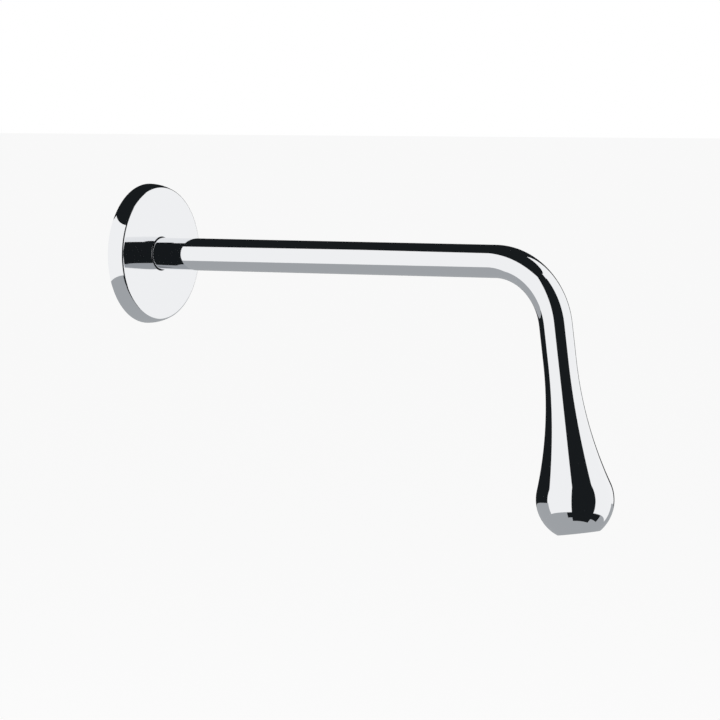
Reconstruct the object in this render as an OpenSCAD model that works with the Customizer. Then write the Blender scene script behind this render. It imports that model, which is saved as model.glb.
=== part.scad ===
// Wall-mounted basin spout: a straight tube arm, a soft bend and a teardrop end, with a round cover flange.
// Millimetres. X points out of the wall along the arm, Z points up, and the wall is the plane X = 0.

/* [Arm] */
// Outer diameter of the tube
tube_d = 16; // [15:0.5:17.5]
// Wall of the tube
tube_wall = 1.75; // [1.25:0.25:2]
// Distance from the wall to where the centre lines of the arm and the drop cross
reach = 235; // [150:5:320]
// Radius of the bend on its centre line
bend_r = 34; // [24:1:60]
// Lean of the drop away from the wall, in degrees
drop_lean = 7.5; // [0:0.5:20]

/* [Drop] */
// Plain neck between the bend and the flare
neck_len = 18; // [5:1:60]
// Length over which the neck swells, up to the middle of the belly
flare_len = 66; // [45:1:120]
// Widest diameter of the drop
belly_d = 37.5; // [32:0.5:48]
// Radius of the belly's outline
belly_r = 19.5; // [16:0.5:26]
// Diameter of the flat cut that ends the drop
outlet_d = 20.5; // [19:0.5:26]

/* [Wall flange] */
// Diameter of the flange at the wall
flange_d = 70; // [60:1:90]
// Depth of the flange from the wall to its flat face
flange_depth = 8; // [7:0.5:14]
// How far the rim curves in between the wall and the flat face
rim_set = 2.7; // [2:0.1:4]
// Radius of the soft edge round the flat face
rim_edge_r = 1.2; // [0.6:0.1:1.6]
// Wall of the flange
flange_wall = 2; // [1.2:0.1:2.2]
// Diameter of the thicker hub round the tube
hub_d = 24; // [22:0.5:30]
// Thickness of the hub
hub_thick = 3.4; // [3.1:0.1:4.5]
// Wall of the rim, which carries the gasket
rim_wall = 3.2; // [3:0.1:4]
// Lip of the rim that hides the gasket
gasket_lip = 1.2; // [0.8:0.1:1.5]
// Open gap between the flange's hole and the tube
hole_gap = 0.5; // [0.3:0.05:0.7]

/* [Seals] */
// Thickness of the round sealing rings
ring_t = 1.5; // [1.3:0.1:1.7]
// Squeeze of a sealing ring against the face that it seals on
ring_squeeze = 0.2; // [0.1:0.05:0.3]
// Play along the axis beside a sealing ring in its groove
groove_play = 0.15; // [0.05:0.05:0.2]
// Thickness of the soft gasket behind the flange's rim
gasket_t = 2; // [1:0.25:3]

/* [Wall connector] */
// Outer diameter of the pipe thread that goes into the wall fitting
thread_d = 20.955; // [20.955:0.001:26.441]
// Length of the pipe thread
thread_len = 14; // [10:0.5:20]
// Lead-in chamfer on the thread's end
thread_chamfer = 1; // [0.5:0.25:1.5]
// How far the collar that stops on the wall fitting stands out past the thread
collar_over = 4.5; // [4:0.25:6]
// Thickness of the collar
collar_t = 2.5; // [2.2:0.1:3]
// Length of the spigot that plugs into the tube
spigot_len = 20; // [18:0.5:30]
// Play between the spigot and the tube's bore, on the radius
spigot_play = 0.1; // [0.05:0.05:0.2]
// Diameter of the connector's inlet, behind the collar
inlet_d = 13; // [10:0.5:15]
// Depth of that inlet
inlet_depth = 12; // [8:0.5:14]
// Diameter of the waterway through the spigot
spigot_bore_d = 6.5; // [5:0.5:6.5]
// Width across flats of the hexagon that turns the connector
key_af = 7; // [6.5:0.1:7.2]
// Depth of that hexagon
key_depth = 6; // [4:0.5:7]

/* [Grub screw] */
// Diameter of the screw that locks the tube on the spigot
grub_d = 3; // [2.5:0.5:3]
// Play round the grub screw, on the radius
grub_play = 0.05; // [0.03:0.01:0.1]
// Distance of the screw from the back end of the tube
grub_inset = 2.8; // [2.4:0.1:4]
// Width across flats of the screw's socket
grub_af = 1.5; // [1.3:0.1:1.5]
// Depth of the screw's socket
grub_socket = 1.2; // [0.8:0.1:1.4]
// Depth of the locking groove in the spigot
lock_groove = 0.9; // [0.6:0.1:1]

/* [Aerator] */
// Diameter of the threaded aerator housing
aerator_d = 16.5; // [15.5:0.1:17]
// Play between the housing and its seat, on the radius
aerator_play = 0.1; // [0.05:0.05:0.2]
// How far the housing sits inside the flat cut
aerator_recess = 0.8; // [0.4:0.1:2]
// Height of the housing
housing_h = 9.5; // [9.5:0.5:12]
// Wall of the housing
housing_wall = 1.3; // [1:0.1:1.4]
// Lip at the bottom of the housing that carries the insert
lip_w = 0.6; // [0.4:0.1:0.8]
// Thickness of that lip
lip_h = 0.8; // [0.5:0.1:1.2]
// Play between the insert's discs and the housing, on the radius
insert_play = 0.1; // [0.05:0.05:0.15]
// Thickness of the outlet grid
grid_h = 2.2; // [1.5:0.1:2.4]
// Pitch of the outlet grid's square cells
grid_pitch = 1.7; // [1.5:0.1:2.2]
// Width of the bars between the cells
grid_bar = 0.4; // [0.3:0.05:0.6]
// Thickness of each wire screen
screen_t = 0.3; // [0.2:0.05:0.4]
// Pitch of the screens' meshes
screen_pitch = 1.4; // [1.2:0.1:2]
// Width of the screens' wires
screen_wire = 0.35; // [0.3:0.05:0.5]
// Height of the ring that keeps the two screens apart
spacer_h = 0.8; // [0.5:0.1:1]
// Width of that ring
spacer_w = 1; // [0.6:0.1:1.4]
// Height of the jet plate
jet_h = 1.8; // [1.4:0.1:1.9]
// Number of jets
jet_count = 16; // [10:1:18]
// Diameter of each jet
jet_d = 1; // [0.7:0.1:1.1]
// Height of the flow regulator
regulator_h = 2; // [1.9:0.1:2.2]
// Thickness of the regulator's own soft ring
regulator_ring_t = 1.2; // [1:0.1:1.3]
// Thickness of the flat seal between the housing and its seat
aerator_seal_t = 1.2; // [0.8:0.1:1.6]
// Width of that seal
aerator_seal_w = 1.5; // [1.2:0.1:1.8]
// Height of the strainer's dome above the housing
strainer_h = 3; // [2:0.5:4]
// Room round the strainer's dome, on the radius
strainer_room = 0.6; // [0.4:0.1:1]
// Wall of the strainer
strainer_t = 0.6; // [0.4:0.1:0.8]
// Number of slots in the strainer
slot_count = 12; // [8:1:16]

/* [Hidden] */
$fn = 96;
chrome = [0.82, 0.83, 0.85];
brass = [0.78, 0.64, 0.34];
rubber = [0.12, 0.12, 0.13];
foam = [0.3, 0.3, 0.31];
steel = [0.6, 0.61, 0.62];
white_plastic = [0.9, 0.9, 0.87];
grey_plastic = [0.62, 0.64, 0.66];

// The centre line: a straight arm, an arc that turns down, and the straight axis of the drop
tube_r = tube_d / 2;
bore_r = tube_r - tube_wall;
bend_angle = 90 - drop_lean;
arm_end = reach - bend_r * tan(bend_angle / 2);
bend_end_x = arm_end + bend_r * sin(bend_angle);
bend_end_z = -bend_r * (1 - cos(bend_angle));
bend_lap = 0.5;
bend_swell = 0.02;

// The drop's outline, measured from the end of the bend: a neck, a hollow arc and the belly's arc, all tangent
belly_max = belly_d / 2;
belly_centre = neck_len + flare_len;
belly_off = belly_max - belly_r;
flare_rise = tube_r - belly_off;
flare_r = (flare_len * flare_len + flare_rise * flare_rise - belly_r * belly_r) / (2 * (belly_max - tube_r));
flare_turn = asin(flare_len / (flare_r + belly_r));
flare_end = neck_len + flare_r * sin(flare_turn);
flare_end_r = tube_r + flare_r * (1 - cos(flare_turn));
drop_len = belly_centre + sqrt(belly_r * belly_r - pow(outlet_d / 2 - belly_off, 2));

// The flange's rim: two arcs that meet smoothly, one from the wall and one into the flat face
flange_r = flange_d / 2;
face_r = flange_r - rim_set;
rim_run = flange_depth - rim_edge_r;
rim_in = rim_set - rim_edge_r;
rim_r = (rim_run * rim_run + rim_set * rim_set - rim_edge_r * rim_edge_r) / (2 * rim_in);
hole_r = tube_r + hole_gap;

// The connector's places along the arm
thread_r = thread_d / 2;
collar_r = thread_r + collar_over;
tube_start = collar_t;
spigot_r = bore_r - spigot_play;
spigot_end = tube_start + spigot_len;
grub_x = tube_start + grub_inset;
lock_r = spigot_r - lock_groove;
ring_r = ring_t / 2;
groove_w = ring_t + 2 * groove_play;
ring_back_x = grub_x + grub_d / 2 + 1 + groove_w;
ring_front_x = ring_back_x + 2.2 * groove_w;
key_r = key_af / 2 / cos(30);
ring_x = flange_depth - hub_thick / 2;

// The aerator's places, measured from the flat cut back into the drop
seat_r = aerator_d / 2 + aerator_play;
insert_r = aerator_d / 2 - housing_wall;
disc_r = insert_r - insert_play;
grid_z = aerator_recess + lip_h;
lower_screen_z = grid_z + grid_h;
spacer_z = lower_screen_z + screen_t;
upper_screen_z = spacer_z + spacer_h;
jet_z = upper_screen_z + screen_t;
regulator_z = jet_z + jet_h;
strainer_z = regulator_z + regulator_h;
housing_top = aerator_recess + housing_h;
seal_rest = 0.01;
seat_depth = housing_top + aerator_seal_t + seal_rest;
dome_r = bore_r - strainer_room;
slot_w = 0.6;
regulator_mid = disc_r * 0.6;
regulator_floor = regulator_h - regulator_ring_t - 0.2;

// Turns a shape that stands on Z so that it lies along the arm
module along_arm(x) {
    translate([x, 0, 0])
        rotate([0, 90, 0])
            children();
}

// Puts a shape on the drop's axis, with Z running down from the end of the bend
module along_drop() {
    translate([bend_end_x, 0, bend_end_z])
        rotate([0, 90 + bend_angle, 0])
            children();
}

// Puts a shape on the drop's axis, with Z running up from the flat cut
module from_outlet(z) {
    along_drop()
        translate([0, 0, drop_len])
            rotate([180, 0, 0])
                translate([0, 0, z])
                    children();
}

// A round washer or sleeve that stands on Z
module sleeve(outer_r, inner_r, height) {
    difference() {
        cylinder(r = outer_r, h = height);
        translate([0, 0, -1])
            cylinder(r = inner_r, h = height + 2);
    }
}

// A sealing ring squeezed against a cylinder inside it
module ring_on_shaft(shaft_r) {
    rotate_extrude()
        intersection() {
            translate([shaft_r + ring_r - ring_squeeze, 0])
                circle(r = ring_r, $fn = 32);
            translate([shaft_r, -ring_t])
                square([2 * ring_t, 2 * ring_t]);
        }
}

// A sealing ring squeezed against a bore around it
module ring_in_bore(hole_wall_r) {
    rotate_extrude()
        intersection() {
            translate([hole_wall_r - ring_r + ring_squeeze, 0])
                circle(r = ring_r, $fn = 32);
            translate([0, -ring_t])
                square([hole_wall_r, 2 * ring_t]);
        }
}

// Square cells on a grid, kept inside a circle
module cells(pitch, bar, inside_r, height) {
    n = floor(inside_r / pitch);
    for (i = [-n:n], j = [-n:n])
        if (norm([i, j]) * pitch + (pitch - bar) * 0.7 < inside_r)
            translate([i * pitch, j * pitch, height / 2])
                cube([pitch - bar, pitch - bar, height + 2], center = true);
}

// Half section of the drop: neck, hollow flare and belly down to the flat cut
module drop_outline() {
    square([tube_r, neck_len]);
    difference() {
        translate([0, neck_len])
            square([flare_end_r, flare_end - neck_len]);
        translate([tube_r + flare_r, neck_len])
            circle(r = flare_r, $fn = 720);
    }
    intersection() {
        translate([belly_off, belly_centre])
            circle(r = belly_r, $fn = 180);
        translate([0, flare_end])
            square([belly_max, drop_len - flare_end]);
    }
}

// A round rod bent along the arc, reaching a little way into the straight lengths at both ends
module bend_rod(rod_r) {
    translate([arm_end, 0, -bend_r])
        rotate([90, 0, 0])
            rotate([0, 0, 90 - bend_angle - bend_lap])
                rotate_extrude(angle = bend_angle + 2 * bend_lap, $fn = 180)
                    translate([bend_r, 0])
                        circle(r = rod_r + bend_swell, $fn = 96);
}

// The polished outside: arm, bend and teardrop
module spout_outside() {
    along_arm(tube_start)
        cylinder(r = tube_r, h = arm_end - tube_start);
    bend_rod(tube_r);
    along_drop()
        rotate_extrude()
            drop_outline();
}

// The waterway, from the spigot's bore to the aerator's stepped seat
module waterway() {
    along_arm(tube_start - 1)
        cylinder(r = bore_r, h = arm_end - tube_start + 1);
    bend_rod(bore_r);
    along_drop() {
        cylinder(r = bore_r, h = drop_len + 1);
        translate([0, 0, drop_len - seat_depth])
            cylinder(r = seat_r, h = seat_depth + 1);
    }
}

// Arm, bend and teardrop are one polished piece with the waterway through it
module spout_body() {
    color(chrome)
        difference() {
            spout_outside();
            waterway();
            translate([grub_x, 0, -tube_r - 1])
                cylinder(r = grub_d / 2 + grub_play, h = tube_r, $fn = 48);
        }
}

// Half section of the flange's outside: rim arc, soft edge and flat face
module flange_outline() {
    rim_dx = rim_r - rim_set;
    meet = rim_r * rim_run / norm([rim_dx, rim_run]);
    square([face_r, flange_depth]);
    translate([face_r, rim_run])
        circle(r = rim_edge_r, $fn = 72);
    intersection() {
        translate([flange_r - rim_r, 0])
            circle(r = rim_r, $fn = 360);
        square([flange_r, meet]);
    }
}

// Turned cover disc, hollow behind, with a hub that holds the ring round the tube
module wall_flange() {
    groove_floor = tube_r + ring_t - ring_squeeze;
    color(chrome)
        along_arm(0)
            rotate_extrude($fn = 144)
                difference() {
                    flange_outline();
                    translate([-1, -1])
                        square([hole_r + 1, flange_depth + 2]);
                    translate([0, ring_x - groove_w / 2])
                        square([groove_floor, groove_w]);
                    translate([0, -1])
                        square([hub_d / 2, flange_depth - hub_thick + 1]);
                    translate([0, -1])
                        square([flange_r - gasket_lip, gasket_t + 1]);
                    translate([hub_d / 2 - 1, -1])
                        square([flange_r - rim_wall - hub_d / 2 + 1, flange_depth - flange_wall + 1]);
                }
}

// The dark ring that shows between the flange and the tube
module flange_ring() {
    color(rubber)
        along_arm(ring_x)
            ring_on_shaft(tube_r);
}

// Soft ring behind the rim, flush with the wall
module wall_gasket() {
    color(foam)
        along_arm(0)
            sleeve(flange_r - gasket_lip, flange_r - rim_wall, gasket_t);
}

// Half section of the connector's outside, from the thread's end to the spigot's
module connector_outline() {
    face_groove_r = thread_r + collar_over / 2;
    ring_floor = spigot_r - (ring_t - ring_squeeze - spigot_play);
    difference() {
        union() {
            polygon([[0, -thread_len], [thread_r - thread_chamfer, -thread_len],
                [thread_r, thread_chamfer - thread_len], [thread_r, 0], [0, 0]]);
            square([collar_r, collar_t]);
            square([spigot_r, spigot_end]);
        }
        translate([face_groove_r - groove_w / 2, -1])
            square([groove_w, ring_t - ring_squeeze + 1]);
        for (x = [ring_back_x, ring_front_x])
            translate([ring_floor, x - groove_w / 2])
                square([ring_t, groove_w]);
        translate([lock_r, grub_x - grub_d / 2 - 0.2])
            square([ring_t, grub_d + 0.4]);
        translate([-1, -thread_len - 1])
            square([spigot_bore_d / 2 + 1, thread_len + spigot_end + 2]);
        translate([-1, -thread_len - 1])
            square([inlet_d / 2 + 1, inlet_depth + 1]);
    }
}

// Brass nipple: pipe thread into the wall, collar, and the spigot that the tube slides over
module wall_connector() {
    color(brass)
        difference() {
            along_arm(0)
                rotate_extrude()
                    connector_outline();
            along_arm(spigot_end - key_depth)
                cylinder(r = key_r, h = key_depth + 1, $fn = 6);
        }
}

// Ring in the back of the collar, flat against the wall fitting
module connector_ring() {
    color(rubber)
        along_arm(0)
            rotate_extrude()
                intersection() {
                    translate([thread_r + collar_over / 2, ring_r - ring_squeeze])
                        circle(r = ring_r, $fn = 32);
                    translate([thread_r, 0])
                        square([collar_over, ring_t]);
                }
}

module spigot_ring_back() {
    color(rubber)
        along_arm(ring_back_x)
            ring_in_bore(bore_r);
}

module spigot_ring_front() {
    color(rubber)
        along_arm(ring_front_x)
            ring_in_bore(bore_r);
}

// Set screw in the underside of the tube, hidden by the flange, with its tip in the spigot's groove
module grub_screw() {
    head_z = -tube_r + 0.3;
    tip_z = -lock_r - 0.05;
    tip_taper = 0.6;
    color(steel)
        translate([grub_x, 0, head_z])
            difference() {
                union() {
                    cylinder(r = grub_d / 2, h = tip_z - head_z - tip_taper, $fn = 48);
                    translate([0, 0, tip_z - head_z - tip_taper])
                        cylinder(r1 = grub_d / 2, r2 = grub_d / 2 - tip_taper, h = tip_taper, $fn = 48);
                }
                translate([0, 0, -1])
                    cylinder(r = grub_af / 2 / cos(30), h = grub_socket + 1, $fn = 6);
            }
}

// Threaded ring that screws into the drop, with three notches for its key
module aerator_housing() {
    notch_w = 2;
    notch_h = 1.2;
    color(grey_plastic)
        from_outlet(aerator_recess)
            difference() {
                sleeve(aerator_d / 2, insert_r, housing_h);
                for (a = [0:120:240])
                    rotate([0, 0, a])
                        translate([insert_r + lip_w, -notch_w / 2, -1])
                            cube([housing_wall, notch_w, notch_h + 1]);
            }
    color(grey_plastic)
        from_outlet(aerator_recess)
            sleeve(insert_r, insert_r - lip_w, lip_h);
}

// Open grid that straightens the water, seen from below
module outlet_grid() {
    color(white_plastic)
        from_outlet(grid_z)
            difference() {
                cylinder(r = disc_r, h = grid_h);
                cells(grid_pitch, grid_bar, insert_r - lip_w, grid_h);
            }
}

module screen(z) {
    from_outlet(z)
        difference() {
            cylinder(r = disc_r, h = screen_t);
            cells(screen_pitch, screen_wire, insert_r - lip_w, screen_t);
        }
}

module lower_screen() {
    color(steel)
        screen(lower_screen_z);
}

module screen_spacer() {
    color(white_plastic)
        from_outlet(spacer_z)
            sleeve(disc_r, disc_r - spacer_w, spacer_h);
}

module upper_screen() {
    color(steel)
        screen(upper_screen_z);
}

// Plate that breaks the flow into a ring of jets, with a channel above them
module jet_plate() {
    jet_ring_r = disc_r - 1.8;
    channel_half = 0.8;
    color(white_plastic)
        from_outlet(jet_z)
            difference() {
                cylinder(r = disc_r, h = jet_h);
                translate([0, 0, jet_h / 2])
                    sleeve(jet_ring_r + channel_half, jet_ring_r - channel_half, jet_h);
                for (i = [0:jet_count - 1])
                    rotate([0, 0, i * 360 / jet_count])
                        translate([jet_ring_r, 0, -1])
                            cylinder(r = jet_d / 2, h = jet_h + 2, $fn = 16);
            }
}

// Disc with a trough for its soft ring, which closes the passages as the pressure rises
module flow_regulator() {
    passage_count = 8;
    passage_r = 0.4;
    passage_in = 0.1;
    trough_in = regulator_mid - regulator_ring_t / 2 - 0.1;
    trough_out = regulator_mid + regulator_ring_t / 2 + 0.5;
    color(grey_plastic)
        from_outlet(regulator_z)
            difference() {
                cylinder(r = disc_r, h = regulator_h);
                translate([0, 0, regulator_floor])
                    sleeve(trough_out, trough_in, regulator_h);
                for (i = [0:passage_count - 1])
                    rotate([0, 0, i * 360 / passage_count])
                        translate([trough_out - passage_r - passage_in, 0, -1])
                            cylinder(r = passage_r, h = regulator_h, $fn = 16);
            }
}

module regulator_ring() {
    color(rubber)
        from_outlet(regulator_z + regulator_floor + regulator_ring_t / 2)
            rotate_extrude()
                translate([regulator_mid, 0])
                    circle(r = regulator_ring_t / 2, $fn = 24);
}

// Slotted dome that keeps grit out of the aerator
module strainer() {
    rim_h = housing_top - strainer_z;
    top_r = dome_r * 0.6;
    color(white_plastic)
        from_outlet(strainer_z)
            difference() {
                rotate_extrude()
                    polygon([[dome_r - strainer_t, 0], [disc_r, 0], [disc_r, rim_h], [dome_r, rim_h],
                        [top_r, rim_h + strainer_h], [0, rim_h + strainer_h],
                        [0, rim_h + strainer_h - strainer_t], [top_r - strainer_t, rim_h + strainer_h - strainer_t],
                        [dome_r - strainer_t, rim_h - strainer_t]]);
                for (i = [0:slot_count - 1])
                    rotate([0, 0, i * 360 / slot_count])
                        translate([top_r * 0.4, -slot_w / 2, rim_h + slot_w])
                            cube([dome_r, slot_w, strainer_h]);
            }
}

module aerator_seal() {
    color(rubber)
        from_outlet(housing_top)
            sleeve(aerator_d / 2, aerator_d / 2 - aerator_seal_w, aerator_seal_t);
}

spout_body();
wall_flange();
flange_ring();
wall_gasket();
wall_connector();
connector_ring();
spigot_ring_back();
spigot_ring_front();
grub_screw();
aerator_housing();
outlet_grid();
lower_screen();
screen_spacer();
upper_screen();
jet_plate();
flow_regulator();
regulator_ring();
strainer();
aerator_seal();
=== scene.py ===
# A chrome wall-mounted basin spout in a plain white studio.
# Metres. X points out of the wall along the arm, Z points up, and the wall is the plane X = 0.
import math

import bmesh
import bpy
from mathutils import Matrix, Vector


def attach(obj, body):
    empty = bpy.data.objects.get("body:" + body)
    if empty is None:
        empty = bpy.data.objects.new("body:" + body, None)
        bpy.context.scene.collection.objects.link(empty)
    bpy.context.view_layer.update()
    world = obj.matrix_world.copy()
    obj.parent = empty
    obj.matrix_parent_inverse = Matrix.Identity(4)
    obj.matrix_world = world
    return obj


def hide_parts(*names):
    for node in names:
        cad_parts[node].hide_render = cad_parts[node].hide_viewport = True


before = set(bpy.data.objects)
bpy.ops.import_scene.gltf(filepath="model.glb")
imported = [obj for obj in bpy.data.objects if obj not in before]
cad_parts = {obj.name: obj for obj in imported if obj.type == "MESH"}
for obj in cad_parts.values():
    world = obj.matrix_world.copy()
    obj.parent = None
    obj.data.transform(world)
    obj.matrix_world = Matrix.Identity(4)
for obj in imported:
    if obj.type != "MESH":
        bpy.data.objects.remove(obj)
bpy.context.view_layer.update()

MM = 0.001

# The spout's sizes in millimetres, as in the solids
TUBE_R = 8.0
BORE_R = 6.25
TUBE_START = 2.5
REACH = 235.0
BEND_R = 34.0
DROP_LEAN = math.radians(7.5)
NECK_LEN = 18.0
FLARE_LEN = 66.0
BELLY_R = 19.5
BELLY_MAX = 18.75
OUTLET_R = 10.25
SEAT_R = 8.35
SEAT_DEPTH = 11.51
FLANGE_R = 35.0
FLANGE_DEPTH = 8.0
RIM_SET = 2.7
RIM_EDGE_R = 1.2

# The drop's outline: a neck, a hollow arc and the belly's arc, all tangent
BEND_ANGLE = math.pi / 2 - DROP_LEAN
ARM_END = REACH - BEND_R * math.tan(BEND_ANGLE / 2)
BEND_END = Vector((ARM_END + BEND_R * math.sin(BEND_ANGLE), 0, -BEND_R * (1 - math.cos(BEND_ANGLE))))
BELLY_Z = NECK_LEN + FLARE_LEN
BELLY_OFF = BELLY_MAX - BELLY_R
FLARE_RISE = TUBE_R - BELLY_OFF
FLARE_R = (FLARE_LEN**2 + FLARE_RISE**2 - BELLY_R**2) / (2 * (BELLY_MAX - TUBE_R))
FLARE_TURN = math.asin(FLARE_LEN / (FLARE_R + BELLY_R))
BELLY_TURN = math.acos((OUTLET_R - BELLY_OFF) / BELLY_R)
DROP_LEN = BELLY_Z + BELLY_R * math.sin(BELLY_TURN)


def linear(hex_colour):
    """An sRGB hex colour as the linear values that shaders use."""
    parts = [int(hex_colour[i : i + 2], 16) / 255 for i in (1, 3, 5)]
    return [p / 12.92 if p <= 0.04045 else ((p + 0.055) / 1.055) ** 2.4 for p in parts] + [1.0]


def add_node(tree, kind, settings=None, links=None, **sockets):
    """Adds a node, sets its properties and sockets, and links (socket: (node, output)) into it."""
    node = tree.nodes.new(kind)
    for key, value in (settings or {}).items():
        setattr(node, key, value)
    for key, value in sockets.items():
        node.inputs[key.replace("_", " ")].default_value = value
    for key, (source, output) in (links or {}).items():
        tree.links.new(source.outputs[output], node.inputs[key])
    return node


def new_material(name):
    material = bpy.data.materials.new(name)
    material.use_nodes = True
    material.node_tree.nodes.clear()
    return material, material.node_tree


def finish_material(tree, colour, metallic, roughness, links=None, normal=None, **more):
    shader = add_node(tree, "ShaderNodeBsdfPrincipled", Metallic=metallic, Roughness=roughness, Base_Color=colour, **more)
    for key, (source, output) in (links or {}).items():
        tree.links.new(source.outputs[output], shader.inputs[key])
    if normal:
        tree.links.new(normal.outputs["Normal"], shader.inputs["Normal"])
    add_node(tree, "ShaderNodeOutputMaterial", links={"Surface": (shader, "BSDF")})
    return shader


def polished_chrome():
    # Chromium plate over polished brass: a cold mirror with a very faint ripple left by the buffing
    material, tree = new_material("polished_chrome")
    place = add_node(tree, "ShaderNodeTexCoord")
    ripple = add_node(tree, "ShaderNodeTexNoise", links={"Vector": (place, "Object")}, Scale=60.0, Detail=2.0)
    haze = add_node(tree, "ShaderNodeTexNoise", links={"Vector": (place, "Object")}, Scale=300.0, Detail=4.0)
    rough = add_node(tree, "ShaderNodeMapRange", links={"Value": (haze, "Fac")})
    rough.inputs["To Min"].default_value = 0.015
    rough.inputs["To Max"].default_value = 0.045
    bump = add_node(tree, "ShaderNodeBump", links={"Height": (ripple, "Fac")}, Strength=0.02, Distance=0.0001)
    finish_material(tree, linear("#EEEFF1"), 1.0, 0.03, {"Roughness": (rough, "Result")}, bump)
    return material


def turned_brass():
    # Machined yellow brass: fine lathe marks round the axis and a slightly dull, tanned surface
    material, tree = new_material("turned_brass")
    place = add_node(tree, "ShaderNodeTexCoord")
    marks = add_node(
        tree, "ShaderNodeTexWave", {"wave_type": "BANDS", "bands_direction": "X"}, {"Vector": (place, "Object")},
        Scale=900.0, Distortion=1.5, Detail=2.0,
    )
    tan = add_node(tree, "ShaderNodeTexNoise", links={"Vector": (place, "Object")}, Scale=90.0, Detail=3.0)
    colour = add_node(tree, "ShaderNodeMix", {"data_type": "RGBA"}, {"Factor": (tan, "Fac")})
    colour.inputs["A"].default_value = linear("#C9A658")
    colour.inputs["B"].default_value = linear("#B8934A")
    bump = add_node(tree, "ShaderNodeBump", links={"Height": (marks, "Fac")}, Strength=0.25, Distance=0.00005)
    finish_material(tree, linear("#C9A658"), 1.0, 0.28, {"Base Color": (colour, "Result")}, bump)
    return material


def stainless_steel():
    # Plain stainless steel wire and screw: a neutral grey metal with a fine drawn grain
    material, tree = new_material("stainless_steel")
    place = add_node(tree, "ShaderNodeTexCoord")
    grain = add_node(tree, "ShaderNodeTexNoise", links={"Vector": (place, "Object")}, Scale=2500.0, Detail=2.0)
    rough = add_node(tree, "ShaderNodeMapRange", links={"Value": (grain, "Fac")})
    rough.inputs["To Min"].default_value = 0.25
    rough.inputs["To Max"].default_value = 0.4
    finish_material(tree, linear("#B4B6B8"), 1.0, 0.3, {"Roughness": (rough, "Result")})
    return material


def black_rubber():
    # Moulded nitrile rubber: near black, satin, with a faint bloom on its surface
    material, tree = new_material("black_rubber")
    place = add_node(tree, "ShaderNodeTexCoord")
    bloom = add_node(tree, "ShaderNodeTexNoise", links={"Vector": (place, "Object")}, Scale=400.0, Detail=3.0)
    colour = add_node(tree, "ShaderNodeMix", {"data_type": "RGBA"}, {"Factor": (bloom, "Fac")})
    colour.inputs["A"].default_value = linear("#171718")
    colour.inputs["B"].default_value = linear("#232324")
    finish_material(tree, linear("#1C1C1D"), 0.0, 0.5, {"Base Color": (colour, "Result")})
    return material


def grey_foam():
    # Closed-cell foam: dark grey, matt, with open cut cells about half a millimetre across
    material, tree = new_material("grey_foam")
    place = add_node(tree, "ShaderNodeTexCoord")
    cells = add_node(tree, "ShaderNodeTexVoronoi", links={"Vector": (place, "Object")}, Scale=2000.0)
    colour = add_node(tree, "ShaderNodeMix", {"data_type": "RGBA"}, {"Factor": (cells, "Distance")})
    colour.inputs["A"].default_value = linear("#3C3D3F")
    colour.inputs["B"].default_value = linear("#545558")
    bump = add_node(tree, "ShaderNodeBump", links={"Height": (cells, "Distance")}, Strength=0.6, Distance=0.0002)
    finish_material(tree, linear("#4B4C4E"), 0.0, 0.9, {"Base Color": (colour, "Result")}, bump)
    return material


def moulded_plastic(name, dark, light):
    # Injection-moulded acetal: satin, with the faint grain of a spark-eroded mould
    material, tree = new_material(name)
    place = add_node(tree, "ShaderNodeTexCoord")
    grain = add_node(tree, "ShaderNodeTexNoise", links={"Vector": (place, "Object")}, Scale=1500.0, Detail=3.0)
    colour = add_node(tree, "ShaderNodeMix", {"data_type": "RGBA"}, {"Factor": (grain, "Fac")})
    colour.inputs["A"].default_value = linear(dark)
    colour.inputs["B"].default_value = linear(light)
    bump = add_node(tree, "ShaderNodeBump", links={"Height": (grain, "Fac")}, Strength=0.2, Distance=0.00003)
    finish_material(tree, linear(light), 0.0, 0.38, {"Base Color": (colour, "Result")}, bump)
    return material


CHROME = polished_chrome()
BRASS = turned_brass()
STEEL = stainless_steel()
RUBBER = black_rubber()
FOAM = grey_foam()
WHITE_PLASTIC = moulded_plastic("white_plastic", "#DCDCD6", "#E8E8E2")
GREY_PLASTIC = moulded_plastic("grey_plastic", "#8D9094", "#9EA1A5")

NODE_MATERIALS = {
    "spout_body": CHROME, "wall_flange": CHROME, "flange_ring": RUBBER, "wall_gasket": FOAM,
    "wall_connector": BRASS, "connector_ring": RUBBER, "spigot_ring_back": RUBBER, "spigot_ring_front": RUBBER,
    "grub_screw": STEEL, "aerator_housing": GREY_PLASTIC, "outlet_grid": WHITE_PLASTIC, "lower_screen": STEEL,
    "screen_spacer": WHITE_PLASTIC, "upper_screen": STEEL, "jet_plate": WHITE_PLASTIC,
    "flow_regulator": GREY_PLASTIC, "regulator_ring": RUBBER, "strainer": WHITE_PLASTIC, "aerator_seal": RUBBER,
}
for node_name, material in NODE_MATERIALS.items():
    node_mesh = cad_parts[node_name].data
    node_mesh.materials.clear()
    node_mesh.materials.append(material)


def start_outline(bm, x, y, z):
    return bm.verts.new((x, y, z))


def line_to(bm, vert, x, z):
    """Draws a straight edge from vert to (x, z) in the outline's own plane."""
    made = bmesh.ops.extrude_vert_indiv(bm, verts=[vert])["verts"][0]
    made.co = Vector((x, 0, z))
    return made


def arc_to(bm, vert, centre_x, centre_z, angle, steps):
    """Swings vert about (centre_x, centre_z) by angle, positive from X towards Z, and returns the last vertex."""
    spun = bmesh.ops.spin(
        bm, geom=[vert], cent=(centre_x, 0, centre_z), axis=(0, -1, 0), angle=angle, steps=steps, use_duplicate=False
    )
    return next(g for g in spun["geom_last"] if isinstance(g, bmesh.types.BMVert))


def revolve(bm, axis, steps, centre=(0, 0, 0)):
    geometry = bm.verts[:] + bm.edges[:]
    bmesh.ops.spin(bm, geom=geometry, cent=centre, axis=axis, angle=math.tau, steps=steps, use_merge=True, use_duplicate=False)


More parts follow.
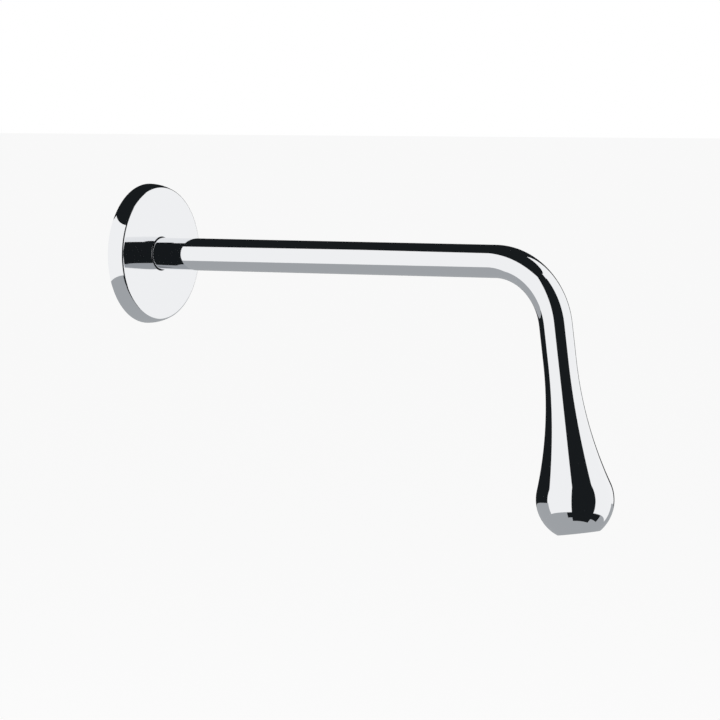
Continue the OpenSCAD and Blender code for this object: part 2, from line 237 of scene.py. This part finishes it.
def make_piece(name, bm, nodes, material, sharp=math.radians(32)):
    """Closes the mesh's seams, points its faces outwards and lets it stand for the CAD nodes."""
    bmesh.ops.remove_doubles(bm, verts=bm.verts, dist=0.0015 if name == "never" else 0.0005)
    bmesh.ops.recalc_face_normals(bm, faces=bm.faces)
    bmesh.ops.scale(bm, vec=(MM, MM, MM), verts=bm.verts)
    for face in bm.faces:
        face.smooth = True
    mesh = bpy.data.meshes.new(name)
    bm.to_mesh(mesh)
    bm.free()
    mesh.materials.append(material)
    mesh.set_sharp_from_angle(angle=sharp)
    piece = bpy.data.objects.new(name, mesh)
    bpy.context.scene.collection.objects.link(piece)
    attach(piece, "root")
    if nodes:
        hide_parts(*nodes)
    return piece


ROUND_STEPS = 256
EDGE_R = 0.3


def spout_body():
    """Arm, bend and teardrop as one skin, outside and waterway."""
    bm = bmesh.new()
    # Teardrop: from the bore at the bend's end, down the waterway, round the flat cut and back up the outside
    v = start_outline(bm, BORE_R, 0, 0)
    v = line_to(bm, v, BORE_R, DROP_LEN - SEAT_DEPTH)
    v = line_to(bm, v, SEAT_R, DROP_LEN - SEAT_DEPTH)
    v = line_to(bm, v, SEAT_R, DROP_LEN - EDGE_R)
    v = arc_to(bm, v, SEAT_R + EDGE_R, DROP_LEN - EDGE_R, -math.pi / 2, 6)
    v = line_to(bm, v, OUTLET_R, DROP_LEN)
    v = arc_to(bm, v, BELLY_OFF, BELLY_Z, -BELLY_TURN - FLARE_TURN, 72)
    v = arc_to(bm, v, TUBE_R + FLARE_R, NECK_LEN, FLARE_TURN, 72)
    v = line_to(bm, v, TUBE_R, 0)
    revolve(bm, (0, 0, 1), ROUND_STEPS)
    turn = Matrix.Rotation(math.pi / 2 + BEND_ANGLE, 4, "Y")
    bmesh.ops.transform(bm, matrix=Matrix.Translation(BEND_END) @ turn, verts=bm.verts)
    # Arm: a plain tube, spun about X
    arm = bmesh.new()
    v = start_outline(arm, ARM_END, 0, BORE_R)
    v = line_to(arm, v, TUBE_START, BORE_R)
    v = line_to(arm, v, TUBE_START, TUBE_R - 0.4)
    v = line_to(arm, v, TUBE_START + 0.4, TUBE_R)
    v = line_to(arm, v, ARM_END, TUBE_R)
    revolve(arm, (1, 0, 0), ROUND_STEPS)
    # Bend: the arm's open ends swung about the bend's centre
    rings = [e for e in arm.edges if e.is_boundary]
    ring_verts = list({v for e in rings for v in e.verts})
    bmesh.ops.spin(
        arm, geom=ring_verts + rings, cent=(ARM_END, 0, -BEND_R), axis=(0, 1, 0), angle=BEND_ANGLE, steps=88,
        use_duplicate=False,
    )
    arm_mesh = bpy.data.meshes.new("arm_and_bend")
    arm.to_mesh(arm_mesh)
    arm.free()
    bm.from_mesh(arm_mesh)
    bpy.data.meshes.remove(arm_mesh)
    return make_piece("spout_skin", bm, ["spout_body"], CHROME)


def wall_flange():
    """Turned cover disc, drawn with X as its depth and Z as its radius."""
    bm = bmesh.new()
    face_r = FLANGE_R - RIM_SET
    run = FLANGE_DEPTH - RIM_EDGE_R
    rim_in = RIM_SET - RIM_EDGE_R
    rim_r = (run**2 + RIM_SET**2 - RIM_EDGE_R**2) / (2 * rim_in)
    rim_turn = math.atan2(run, rim_r - RIM_SET)
    v = first = start_outline(bm, 7.4, 0, 8.5)
    v = line_to(bm, v, FLANGE_DEPTH - EDGE_R, 8.5)
    v = arc_to(bm, v, FLANGE_DEPTH - EDGE_R, 8.5 + EDGE_R, math.pi / 2, 6)
    v = line_to(bm, v, FLANGE_DEPTH, face_r)
    v = arc_to(bm, v, run, face_r, math.pi / 2 - rim_turn, 32)
    v = arc_to(bm, v, 0, FLANGE_R - rim_r, rim_turn, 40)
    v = line_to(bm, v, 0, 33.8)
    v = line_to(bm, v, 2, 33.8)
    v = line_to(bm, v, 2, 31.8)
    v = line_to(bm, v, 5.2, 31.8)
    v = arc_to(bm, v, 5.2, 31.0, -math.pi / 2, 8)
    v = line_to(bm, v, 6, 12)
    v = line_to(bm, v, 4.6, 12)
    v = line_to(bm, v, 4.6, 8.5)
    v = line_to(bm, v, 5.4, 8.5)
    v = line_to(bm, v, 5.4, 9.3)
    v = line_to(bm, v, 7.2, 9.3)
    v = line_to(bm, v, 7.2, 8.5)
    bm.edges.new((v, first))
    revolve(bm, (1, 0, 0), ROUND_STEPS)
    return make_piece("cover_flange", bm, ["wall_flange"], CHROME)


spout_body()
wall_flange()

# ---------------------------------------------------------------- studio


def plain_glow(name, colour, strength=1.0):
    material, tree = new_material(name)
    glow = add_node(tree, "ShaderNodeEmission", Color=linear(colour), Strength=strength)
    add_node(tree, "ShaderNodeOutputMaterial", links={"Surface": (glow, "Emission")})
    return material


def only_reflected(obj):
    """A card that the chrome shows but that neither the camera nor the light sees."""
    obj.visible_camera = False
    obj.visible_diffuse = False
    obj.visible_shadow = False
    obj.visible_transmission = False


STUDIO_CENTRE = Vector((0.25, 0, -0.09))


def dome_card(name, azimuths, elevations, radius, material, centre=STUDIO_CENTRE):
    """A curved card on a dome round the spout, between two azimuths and two elevations in degrees."""
    bm = bmesh.new()
    low, high = (math.radians(a) for a in elevations)
    start, end = (math.radians(a) for a in azimuths)
    v = bm.verts.new((radius * math.cos(low), 0, radius * math.sin(low)))
    bmesh.ops.spin(bm, geom=[v], cent=(0, 0, 0), axis=(0, -1, 0), angle=high - low, steps=24, use_duplicate=False)
    bmesh.ops.rotate(bm, cent=(0, 0, 0), matrix=Matrix.Rotation(start, 3, "Z"), verts=bm.verts)
    geometry = bm.verts[:] + bm.edges[:]
    bmesh.ops.spin(bm, geom=geometry, cent=(0, 0, 0), axis=(0, 0, 1), angle=end - start, steps=48, use_duplicate=False)
    bmesh.ops.translate(bm, vec=centre, verts=bm.verts)
    mesh = bpy.data.meshes.new(name)
    bm.to_mesh(mesh)
    bm.free()
    mesh.materials.append(material)
    card = bpy.data.objects.new(name, mesh)
    bpy.context.scene.collection.objects.link(card)
    only_reflected(card)
    return card


# Painted reflections: glowing cards that only the chrome sees. The near-black ones paint the dark bands into the metal
# overhead, behind and on the camera's side.
BLACK_CARD = plain_glow("black_card", "#1A1D1F")
# Painted reflection: the grey glowing cards below the spout stand in for the floor's reflection in the chrome.
FLOOR_REFLECTION_GLOW = plain_glow("floor_reflection_glow", "#A8ABAE")

dome_card("card_overhead", (-180, -5), (48, 90), 2.0, BLACK_CARD)
dome_card("card_overhead_right", (-5, 180), (66, 90), 2.0, BLACK_CARD)
dome_card("card_back_left", (95, 212), (-8, 66), 2.0, BLACK_CARD)
dome_card("card_front", (-70, 3), (-58, 60), 1.9, BLACK_CARD)
dome_card("card_front_foot", (-86, 36), (-47, -32), 1.85, BLACK_CARD)
dome_card("painted_floor_reflection", (-180, 180), (-90, -31), 2.0, FLOOR_REFLECTION_GLOW)
dome_card("painted_floor_reflection_back", (75, 215), (-31, -8), 2.0, FLOOR_REFLECTION_GLOW)


def studio():
    world = bpy.data.worlds.new("white_studio")
    bpy.context.scene.world = world
    world.use_nodes = True
    tree = world.node_tree
    tree.nodes.clear()
    path = add_node(tree, "ShaderNodeLightPath")
    seen = add_node(tree, "ShaderNodeMath", {"operation": "MAXIMUM"})
    tree.links.new(path.outputs["Is Camera Ray"], seen.inputs[0])
    tree.links.new(path.outputs["Is Glossy Ray"], seen.inputs[1])
    shown = add_node(tree, "ShaderNodeMath", {"operation": "MAXIMUM"})
    tree.links.new(seen.outputs[0], shown.inputs[0])
    tree.links.new(path.outputs["Is Transmission Ray"], shown.inputs[1])
    light = add_node(tree, "ShaderNodeBackground", Color=linear("#FFFFFF"), Strength=0.55)
    white = add_node(tree, "ShaderNodeBackground", Color=linear("#FFFFFF"), Strength=1.0)
    mix = add_node(tree, "ShaderNodeMixShader")
    tree.links.new(shown.outputs[0], mix.inputs[0])
    tree.links.new(light.outputs[0], mix.inputs[1])
    tree.links.new(white.outputs[0], mix.inputs[2])
    add_node(tree, "ShaderNodeOutputWorld", links={"Surface": (mix, "Shader")})

    floor_material, tree = new_material("pale_floor")
    path = add_node(tree, "ShaderNodeLightPath")
    seen = add_node(tree, "ShaderNodeMath", {"operation": "MAXIMUM"})
    tree.links.new(path.outputs["Is Camera Ray"], seen.inputs[0])
    tree.links.new(path.outputs["Is Glossy Ray"], seen.inputs[1])
    shown = add_node(tree, "ShaderNodeMath", {"operation": "MAXIMUM"})
    tree.links.new(seen.outputs[0], shown.inputs[0])
    tree.links.new(path.outputs["Is Transmission Ray"], shown.inputs[1])
    fade = add_node(tree, "ShaderNodeMath", {"operation": "MULTIPLY"})
    tree.links.new(shown.outputs[0], fade.inputs[0])
    fade.inputs[1].default_value = 0.85
    matt = add_node(tree, "ShaderNodeBsdfDiffuse", Color=linear("#F2F2F2"))
    white = add_node(tree, "ShaderNodeEmission", Color=linear("#FFFFFF"), Strength=1.02)
    mix = add_node(tree, "ShaderNodeMixShader")
    tree.links.new(fade.outputs[0], mix.inputs[0])
    tree.links.new(matt.outputs[0], mix.inputs[1])
    tree.links.new(white.outputs[0], mix.inputs[2])
    add_node(tree, "ShaderNodeOutputMaterial", links={"Surface": (mix, "Shader")})
    bm = bmesh.new()
    bmesh.ops.create_grid(bm, x_segments=1, y_segments=1, size=30)
    bmesh.ops.translate(bm, vec=(0, 0, -0.35), verts=bm.verts)
    mesh = bpy.data.meshes.new("floor")
    bm.to_mesh(mesh)
    bm.free()
    mesh.materials.append(floor_material)
    floor = bpy.data.objects.new("floor", mesh)
    # The floor is hidden from reflections; the grey glowing cards paint its reflection instead.
    floor.visible_glossy = False
    bpy.context.scene.collection.objects.link(floor)

    for name, place, size, power in (("key", (0.5, -1.2, 1.4), 1.6, 14), ("fill", (-0.9, -0.8, 0.8), 1.2, 6)):
        lamp = bpy.data.lights.new(name, "AREA")
        lamp.size = size
        lamp.energy = power
        holder = bpy.data.objects.new(name, lamp)
        holder.location = place
        holder.rotation_euler = (Vector((0.15, 0, -0.05)) - Vector(place)).to_track_quat("-Z", "Y").to_euler()
        holder.visible_glossy = False
        bpy.context.scene.collection.objects.link(holder)


def photo_camera():
    lens = bpy.data.cameras.new("photo_camera")
    lens.lens = 250
    lens.sensor_width = 36
    camera = bpy.data.objects.new("photo_camera", lens)
    camera.location = (1.4683, -2.0455, 0.0878)
    target = Vector((0.1204, 0.0102, -0.0506))
    camera.rotation_euler = (target - camera.location).to_track_quat("-Z", "Y").to_euler()
    bpy.context.scene.collection.objects.link(camera)
    bpy.context.scene.camera = camera
    lens.clip_end = 100


studio()
photo_camera()
bpy.context.scene.view_settings.view_transform = "Standard"
